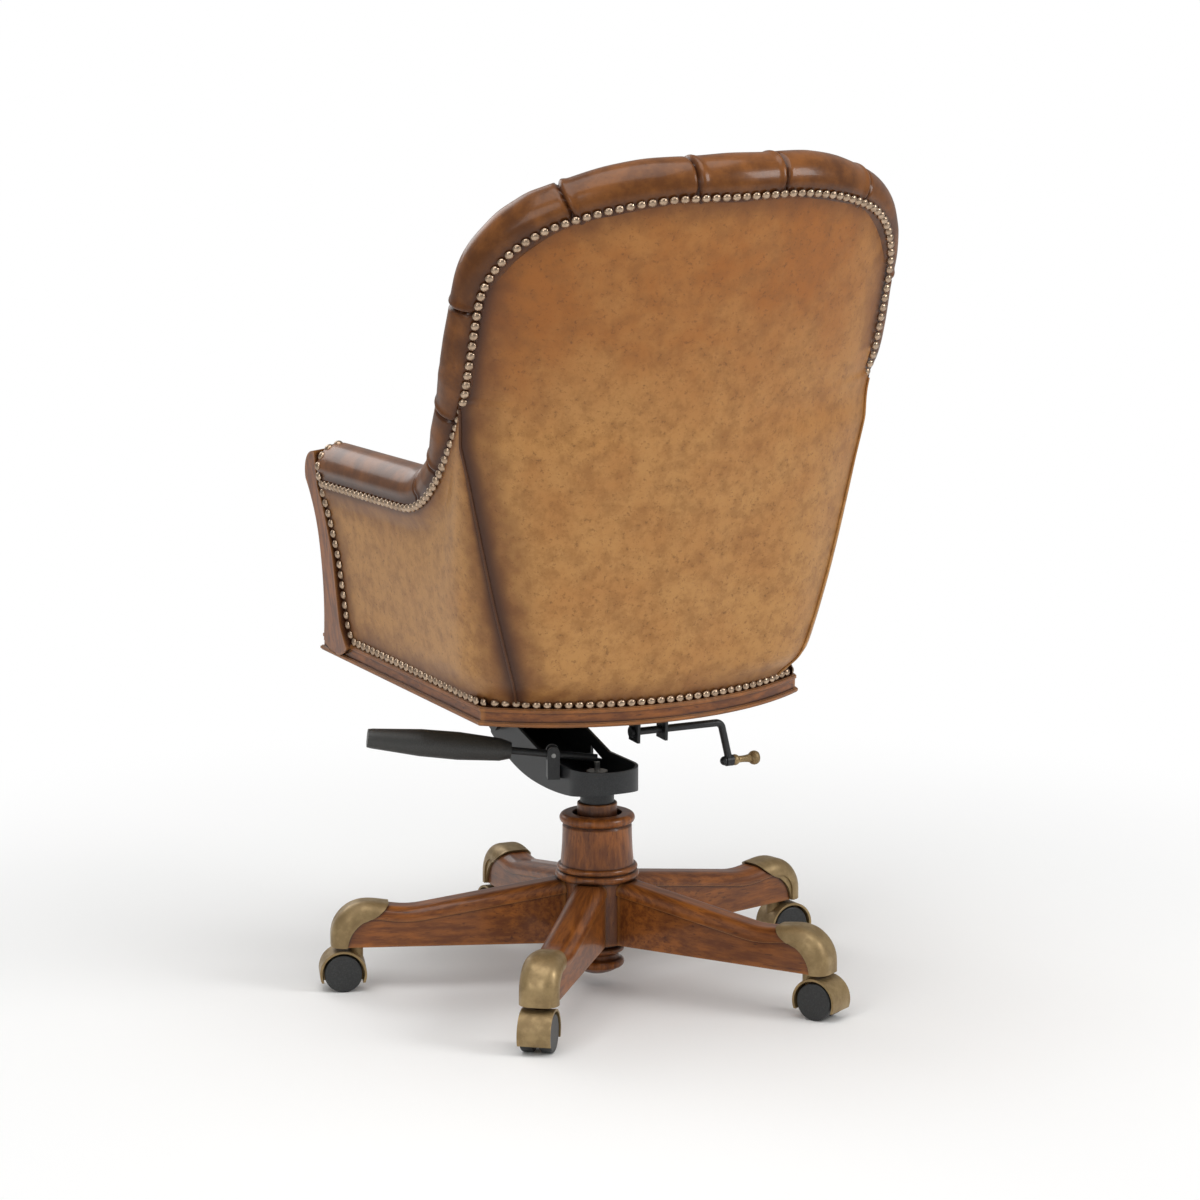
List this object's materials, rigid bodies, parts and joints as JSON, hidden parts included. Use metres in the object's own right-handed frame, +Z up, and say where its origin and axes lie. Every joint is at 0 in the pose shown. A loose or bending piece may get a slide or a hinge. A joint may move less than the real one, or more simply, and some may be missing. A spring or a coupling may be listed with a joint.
{
  "type": "high back office chair",
  "caption": "High back desk chair with a bowed buttoned leather back, rolled arms, wooden posts and rail, knee tilt, gas lift and a wooden swivel base on hooded casters.",
  "frame": {"origin": "on the floor under the swivel axis", "axes": "+Z up, the sitter faces -Y, +X is the sitter's left"},
  "size_m": [0.7116, 0.7648, 1.1369],
  "materials": {
    "wood": "hand-rubbed dark stain, semi-gloss",
    "board": "raw bent board, hidden",
    "antique_brass": "antiqued satin",
    "steel": "plain turned steel",
    "black_metal": "satin black paint",
    "black_plastic": "fine texture",
    "wheel_nylon": "dark moulded nylon",
    "leather_outside": "hand-rubbed tan, burnished at its edges",
    "leather_inside": "darker glossy burnished roll",
    "stuffing": "leather-covered stuffing"
  },
  "bodies": {
    "base": {"legs": "wood", "foot_caps": "antique_brass", "caster_stems": "steel", "column": "wood", "finial": "wood", "stand_tube": "steel", "guide_bush": "black_plastic"},
    "caster_1": {"caster_1_hood": "antique_brass", "caster_1_axle": "steel"},
    "caster_1_wheel_left": {"caster_1_wheel_left": "wheel_nylon"},
    "caster_1_wheel_right": {"caster_1_wheel_right": "wheel_nylon"},
    "caster_2": {"caster_2_hood": "antique_brass", "caster_2_axle": "steel"},
    "caster_2_wheel_left": {"caster_2_wheel_left": "wheel_nylon"},
    "caster_2_wheel_right": {"caster_2_wheel_right": "wheel_nylon"},
    "caster_3": {"caster_3_hood": "antique_brass", "caster_3_axle": "steel"},
    "caster_3_wheel_left": {"caster_3_wheel_left": "wheel_nylon"},
    "caster_3_wheel_right": {"caster_3_wheel_right": "wheel_nylon"},
    "caster_4": {"caster_4_hood": "antique_brass", "caster_4_axle": "steel"},
    "caster_4_wheel_left": {"caster_4_wheel_left": "wheel_nylon"},
    "caster_4_wheel_right": {"caster_4_wheel_right": "wheel_nylon"},
    "caster_5": {"caster_5_hood": "antique_brass", "caster_5_axle": "steel"},
    "caster_5_wheel_left": {"caster_5_wheel_left": "wheel_nylon"},
    "caster_5_wheel_right": {"caster_5_wheel_right": "wheel_nylon"},
    "lift_rod": {"piston_rod": "steel", "thrust_bearing": "steel"},
    "lift": {"lift_chamber": "steel", "lift_collar": "wood", "tilt_housing": "black_metal", "pivot_shaft": "steel", "tilt_spring": "steel", "lever_pin": "steel"},
    "lever": {"lever_rod": "steel", "lever_grip": "black_plastic"},
    "release": {"release_pin": "steel"},
    "seat": {"seat_rail": "wood", "seat_deck": "board", "seat_plate": "black_metal", "plate_bolts": "steel", "crank_bracket": "black_metal", "seat_cushion": "stuffing", "front_border": "stuffing", "back_frame": "board", "back_pad": "stuffing", "back_buttons": "leather_inside", "outside_back": "leather_outside", "edge_roll": "leather_inside", "arm_post_left": "wood", "arm_post_right": "wood", "arm_panel_left": "leather_outside", "arm_panel_right": "leather_outside", "arm_board_left": "board", "arm_board_right": "board", "arm_pad_left": "stuffing", "arm_pad_right": "stuffing"},
    "crank": {"crank_rod": "black_metal"},
    "crank_knob": {"crank_knob": "antique_brass"}
  },
  "joints": [
    {"name": "caster_1_swivel", "type": "hinge", "parent": "base", "child": "caster_1", "pos_m": [0.29834, -0.11572, 0.05], "axis": [0, 0, 1], "continuous": true},
    {"name": "caster_1_roll_left", "type": "hinge", "parent": "caster_1", "child": "caster_1_wheel_left", "pos_m": [0.31512, -0.12223, 0.025], "axis": [0.3616, 0.9323, 0], "continuous": true},
    {"name": "caster_1_roll_right", "type": "hinge", "parent": "caster_1", "child": "caster_1_wheel_right", "pos_m": [0.31512, -0.12223, 0.025], "axis": [0.3616, 0.9323, 0], "continuous": true},
    {"name": "caster_2_swivel", "type": "hinge", "parent": "base", "child": "caster_2", "pos_m": [0.20225, 0.24798, 0.05], "axis": [0, 0, 1], "continuous": true},
    {"name": "caster_2_roll_left", "type": "hinge", "parent": "caster_2", "child": "caster_2_wheel_left", "pos_m": [0.21363, 0.26193, 0.025], "axis": [-0.7749, 0.632, 0], "continuous": true},
    {"name": "caster_2_roll_right", "type": "hinge", "parent": "caster_2", "child": "caster_2_wheel_right", "pos_m": [0.21363, 0.26193, 0.025], "axis": [-0.7749, 0.632, 0], "continuous": true},
    {"name": "caster_3_swivel", "type": "hinge", "parent": "base", "child": "caster_3", "pos_m": [-0.17335, 0.26898, 0.05], "axis": [0, 0, 1], "continuous": true},
    {"name": "caster_3_roll_left", "type": "hinge", "parent": "caster_3", "child": "caster_3_wheel_left", "pos_m": [-0.18256, 0.28444, 0.025], "axis": [-0.859, -0.512, 0], "continuous": true},
    {"name": "caster_3_roll_right", "type": "hinge", "parent": "caster_3", "child": "caster_3_wheel_right", "pos_m": [-0.18256, 0.28444, 0.025], "axis": [-0.859, -0.512, 0], "continuous": true},
    {"name": "caster_4_swivel", "type": "hinge", "parent": "base", "child": "caster_4", "pos_m": [-0.30938, -0.08174, 0.05], "axis": [0, 0, 1], "continuous": true},
    {"name": "caster_4_roll_left", "type": "hinge", "parent": "caster_4", "child": "caster_4_wheel_left", "pos_m": [-0.32734, -0.08294, 0.025], "axis": [0.0663, -0.9978, 0], "continuous": true},
    {"name": "caster_4_roll_right", "type": "hinge", "parent": "caster_4", "child": "caster_4_wheel_right", "pos_m": [-0.32734, -0.08294, 0.025], "axis": [0.0663, -0.9978, 0], "continuous": true},
    {"name": "caster_5_swivel", "type": "hinge", "parent": "base", "child": "caster_5", "pos_m": [-0.01786, -0.3195, 0.05], "axis": [0, 0, 1], "continuous": true},
    {"name": "caster_5_roll_left", "type": "hinge", "parent": "caster_5", "child": "caster_5_wheel_left", "pos_m": [-0.01761, -0.3375, 0.025], "axis": [0.9999, 0.014, 0], "continuous": true},
    {"name": "caster_5_roll_right", "type": "hinge", "parent": "caster_5", "child": "caster_5_wheel_right", "pos_m": [-0.01761, -0.3375, 0.025], "axis": [0.9999, 0.014, 0], "continuous": true},
    {"name": "seat_swivel", "type": "hinge", "parent": "base", "child": "lift_rod", "pos_m": [0, 0, 0.07], "axis": [0, 0, 1], "continuous": true},
    {"name": "seat_lift", "type": "slide", "parent": "lift_rod", "child": "lift", "axis": [0, 0, 1], "range_m": [0, 0.09]},
    {"name": "seat_tilt", "type": "hinge", "parent": "lift", "child": "seat", "pos_m": [0, -0.2, 0.327], "axis": [-1, 0, 0], "range_deg": [0, 12], "stiffness_Nm_per_rad": 300, "springref_deg": -28.65},
    {"name": "lever_lift", "type": "hinge", "parent": "lift", "child": "lever", "pos_m": [0.055, -0.02045, 0.3128], "axis": [-0.3486, -0.9373, 0], "range_deg": [0, 4], "stiffness_Nm_per_rad": 6, "springref_deg": -6.88},
    {"name": "release_press", "type": "slide", "parent": "lift", "child": "release", "axis": [0, 0, -1], "range_m": [0, 0.0045]},
    {"name": "crank_turn", "type": "hinge", "parent": "seat", "child": "crank", "pos_m": [-0.12, -0.00297, 0.33507], "axis": [1, 0, 0], "continuous": true},
    {"name": "crank_knob_turn", "type": "hinge", "parent": "crank", "child": "crank_knob", "pos_m": [-0.222, -0.00532, 0.28112], "axis": [1, 0, 0], "continuous": true}
  ],
  "couplings": [
    {"joint": "release_press", "follows": "lever_lift", "m_per_rad": 0.0587}
  ]
}
